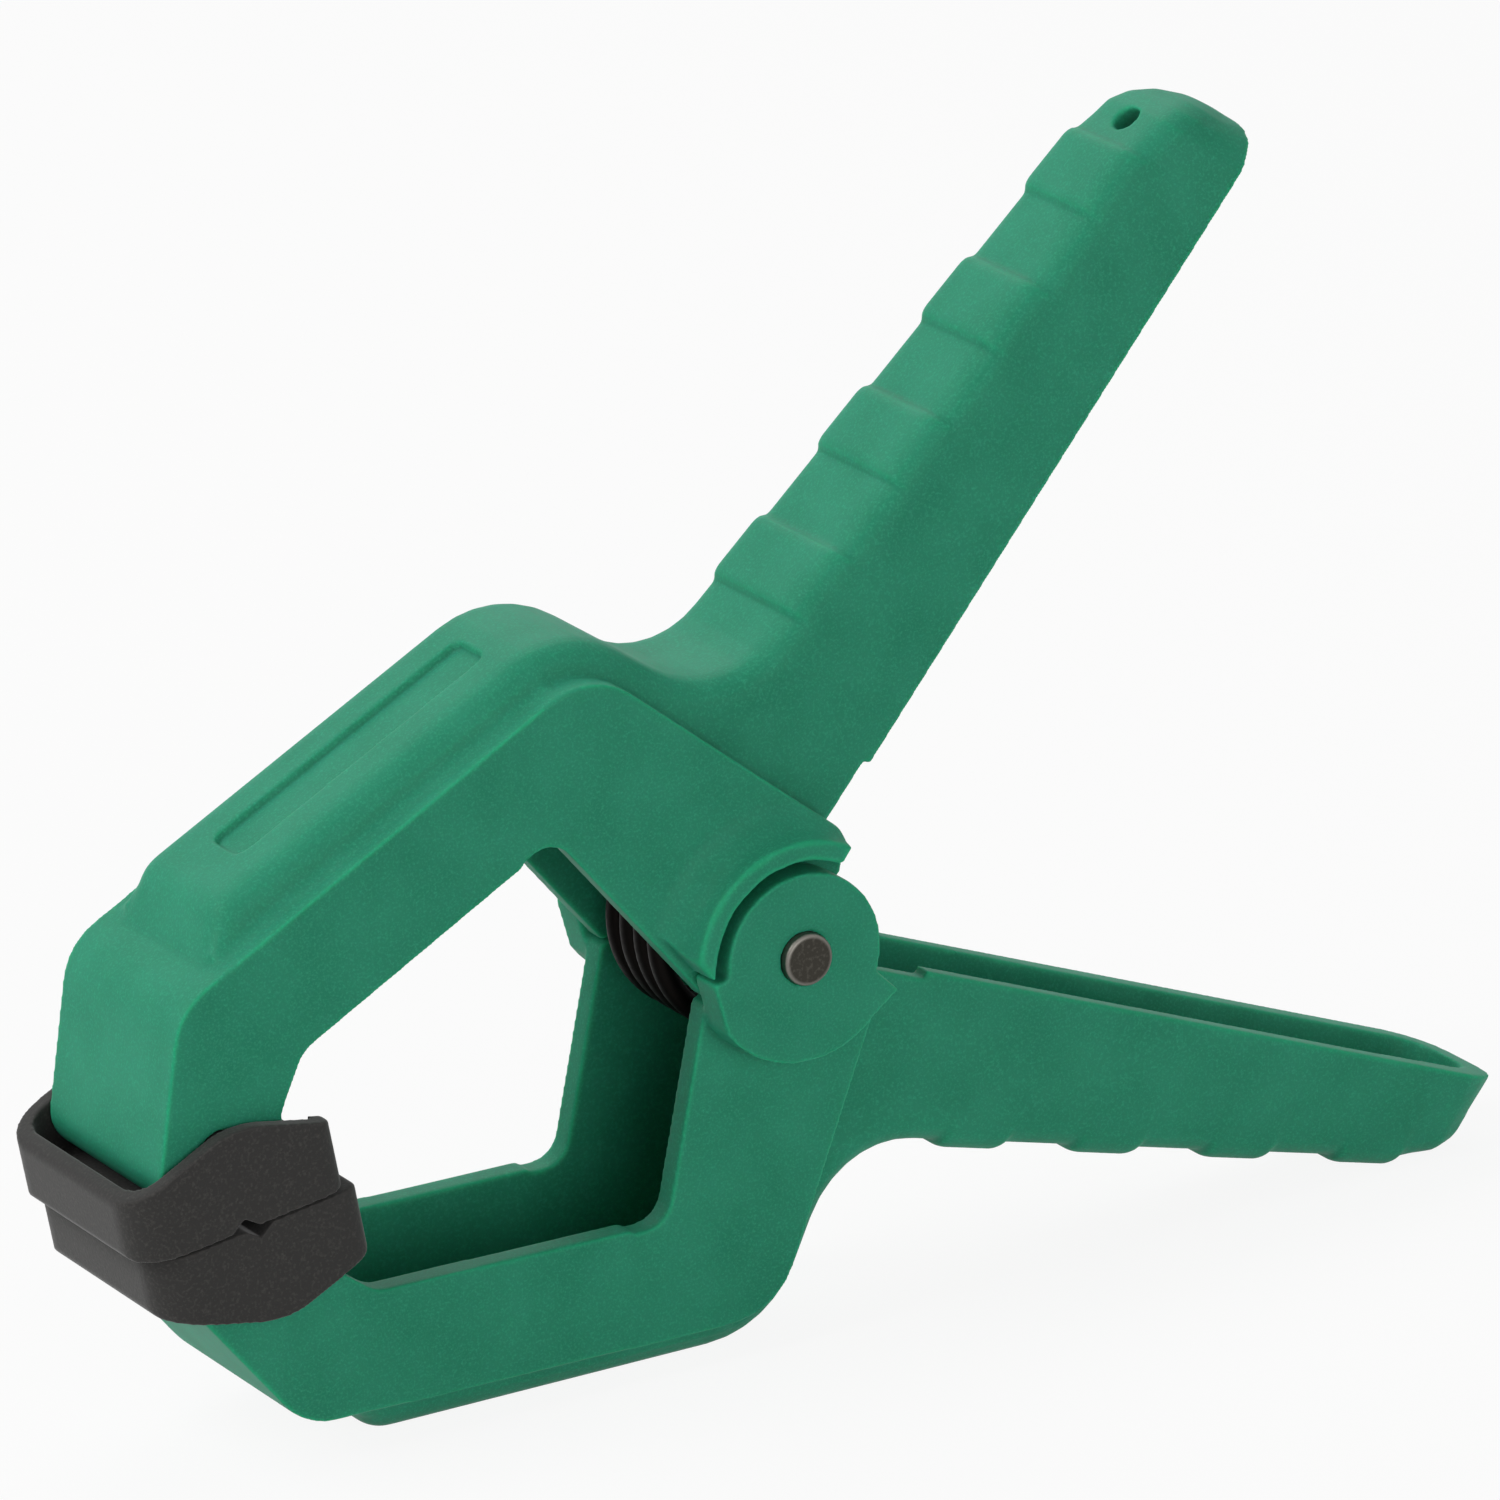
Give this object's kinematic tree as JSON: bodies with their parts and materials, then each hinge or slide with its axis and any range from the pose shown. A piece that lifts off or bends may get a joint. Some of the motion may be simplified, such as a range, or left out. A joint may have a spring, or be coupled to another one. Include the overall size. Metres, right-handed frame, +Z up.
{
  "type": "spring clamp",
  "caption": "Hand-sized spring clamp: two moulded nylon levers on a steel pin, a torsion spring between them, and swivelling jaw pads.",
  "frame": {"origin": "centre of the bounding box in plan, on the floor that the lower lever rests on", "axes": "+X from the jaws towards the handles, +Y across the clamp along the pivot pin, +Z up from the lower lever to the upper one"},
  "size_m": [0.18, 0.038, 0.1306],
  "materials": {
    "nylon": "fine moulded texture, satin",
    "pad": "fine matte texture",
    "steel": "black oxide, satin"
  },
  "bodies": {
    "lower": {"lower_lever": "nylon", "pivot_pin": "steel", "torsion_spring": "steel"},
    "upper": {"upper_lever": "nylon"},
    "upper_pad": {"upper_jaw_pad": "pad"},
    "lower_pad": {"lower_jaw_pad": "pad"}
  },
  "joints": [
    {"name": "jaw_hinge", "type": "hinge", "parent": "lower", "child": "upper", "pos_m": [-0.00738, 0, 0.04707], "axis": [0, 1, 0], "range_deg": [0, 60], "stiffness_Nm_per_rad": 1.05, "springref_deg": -49.27, "deforming": ["torsion_spring"]},
    {"name": "upper_pad_swivel", "type": "hinge", "parent": "upper", "child": "upper_pad", "pos_m": [-0.07782, 0, 0.03864], "axis": [0, 1, 0], "range_deg": [-14, 4]},
    {"name": "lower_pad_swivel", "type": "hinge", "parent": "lower", "child": "lower_pad", "pos_m": [-0.07364, 0, 0.02173], "axis": [0, 1, 0], "range_deg": [-14, 4]}
  ],
  "couplings": [
    {"joint": "lower_pad_swivel", "follows": "upper_pad_swivel", "ratio": 1}
  ]
}
